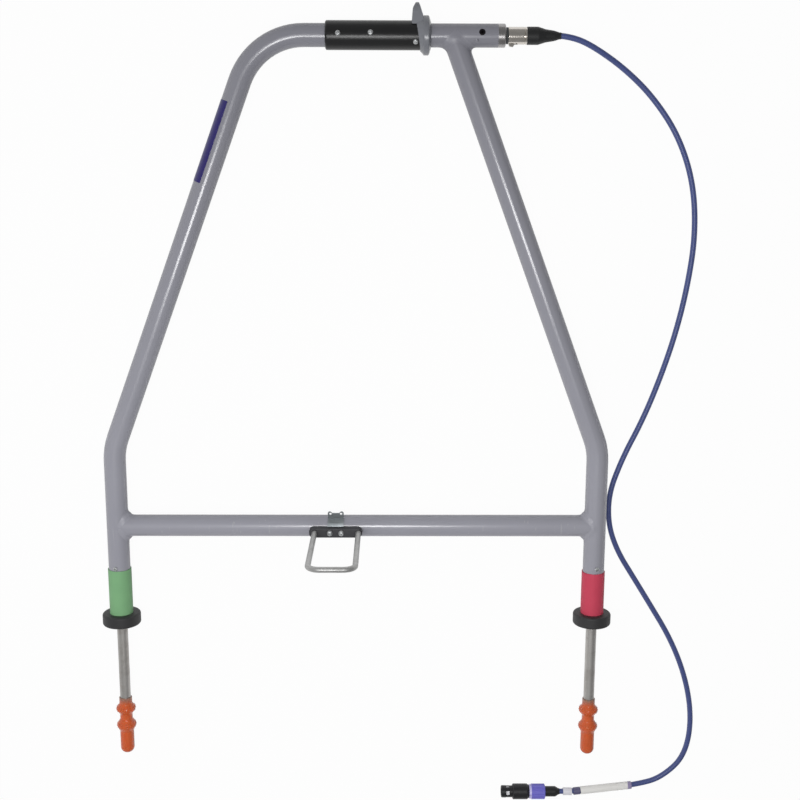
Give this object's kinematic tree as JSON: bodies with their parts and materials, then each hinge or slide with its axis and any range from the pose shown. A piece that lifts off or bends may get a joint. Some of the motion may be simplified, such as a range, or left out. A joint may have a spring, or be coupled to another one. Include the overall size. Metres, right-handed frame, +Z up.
{
  "type": "a-frame cable fault locator",
  "caption": "A-shaped tube frame with insulated earth spikes, a gripped handlebar with a plug-in lead, and a rod loop on the cross tube that holds a receiver.",
  "frame": {"origin": "on the surface that the frame lies on, under the middle of the frame's outline without its lead", "axes": "+X to the side of the handlebar's socket and lead, +Y from the spikes to the handlebar, +Z up from the surface, the way the receiver loop stands out"},
  "size_m": [0.7218, 0.9537, 0.1737],
  "materials": {
    "frame_metal": "satin grey, smooth",
    "grip_rubber": "matt, fine grain",
    "guard_plastic": "moulded, satin",
    "plug_plastic": "moulded, satin",
    "white_plastic": "moulded",
    "zinc_steel": "zinc plated, bright",
    "spike_steel": "turned, dull",
    "ferrule_metal": "turned, satin",
    "black_steel": "black oxide",
    "insert_plastic": "moulded",
    "contact_brass": "plated",
    "green_vinyl": "shrunk vinyl",
    "red_vinyl": "shrunk vinyl",
    "insulator_plastic": "turned, dull",
    "green_wire": "insulation",
    "red_wire": "insulation",
    "block_plastic": "moulded",
    "liner_rubber": "matt",
    "cover_rubber": "soft vinyl, satin",
    "nickel": "nickel plated, satin",
    "boot_rubber": "matt",
    "nut_plastic": "moulded, ribbed",
    "cable_jacket": "smooth jacket",
    "white_sleeve": "bare",
    "blue_sleeve": "shrunk"
  },
  "bodies": {
    "frame": {"main_tube": "frame_metal", "right_leg_tube": "frame_metal", "cross_tube": "frame_metal", "handle_weld": "frame_metal", "left_cross_weld": "frame_metal", "right_cross_weld": "frame_metal", "ferrule_rivet": "frame_metal", "grip_sleeve": "grip_rubber", "hand_guard": "guard_plastic", "grip_rivets": "zinc_steel", "leg_screws": "zinc_steel", "holder_screws": "zinc_steel", "receiver_loop": "zinc_steel", "catch_strap": "zinc_steel", "spike_nuts": "zinc_steel", "spike_left": "spike_steel", "spike_right": "spike_steel", "end_ferrule": "ferrule_metal", "grub_screw": "black_steel", "socket_insert": "insert_plastic", "socket_pins": "contact_brass", "lead_terminals": "contact_brass", "colour_sleeve_left": "green_vinyl", "colour_sleeve_right": "red_vinyl", "foot_insulator_left": "insulator_plastic", "foot_insulator_right": "insulator_plastic", "lead_wire_left": "green_wire", "lead_wire_right": "red_wire", "holder_block": "block_plastic", "catch_liner": "liner_rubber"},
    "left_cover": {"tip_cover_left": "cover_rubber"},
    "right_cover": {"tip_cover_right": "cover_rubber"},
    "lead": {"plug_shell": "nickel", "plug_insert": "insert_plastic", "plug_contacts": "contact_brass", "plug_gasket": "liner_rubber", "latch_pin": "nickel", "plug_boot": "boot_rubber", "cable": "cable_jacket", "marker_band": "white_sleeve", "shrink_sleeve": "blue_sleeve", "cable_label": "white_sleeve", "far_nose": "plug_plastic", "far_insert": "white_plastic", "far_pins": "contact_brass", "far_clamp_nut": "nut_plastic", "far_boot": "boot_rubber"},
    "latch": {"latch_lever": "nickel"},
    "collar": {"far_collar": "plug_plastic"}
  },
  "joints": [
    {"name": "left_cover_pull", "type": "slide", "parent": "frame", "child": "left_cover", "axis": [0, -1, 0], "range_m": [0, 0.068]},
    {"name": "right_cover_pull", "type": "slide", "parent": "frame", "child": "right_cover", "axis": [0, -1, 0], "range_m": [0, 0.0635]},
    {"name": "lead_unplug", "type": "slide", "parent": "frame", "child": "lead", "axis": [1, 0, 0], "range_m": [0, 0.02]},
    {"name": "latch_press", "type": "hinge", "parent": "lead", "child": "latch", "pos_m": [0.1767, 0.3993, 0.0225], "axis": [0, 0, -1], "range_deg": [0, 8], "stiffness_Nm_per_rad": 0.25},
    {"name": "collar_turn", "type": "hinge", "parent": "lead", "child": "collar", "pos_m": [0.2035, -0.5018, 0.0095], "axis": [1, 0, 0], "range_deg": [0, 45]}
  ]
}
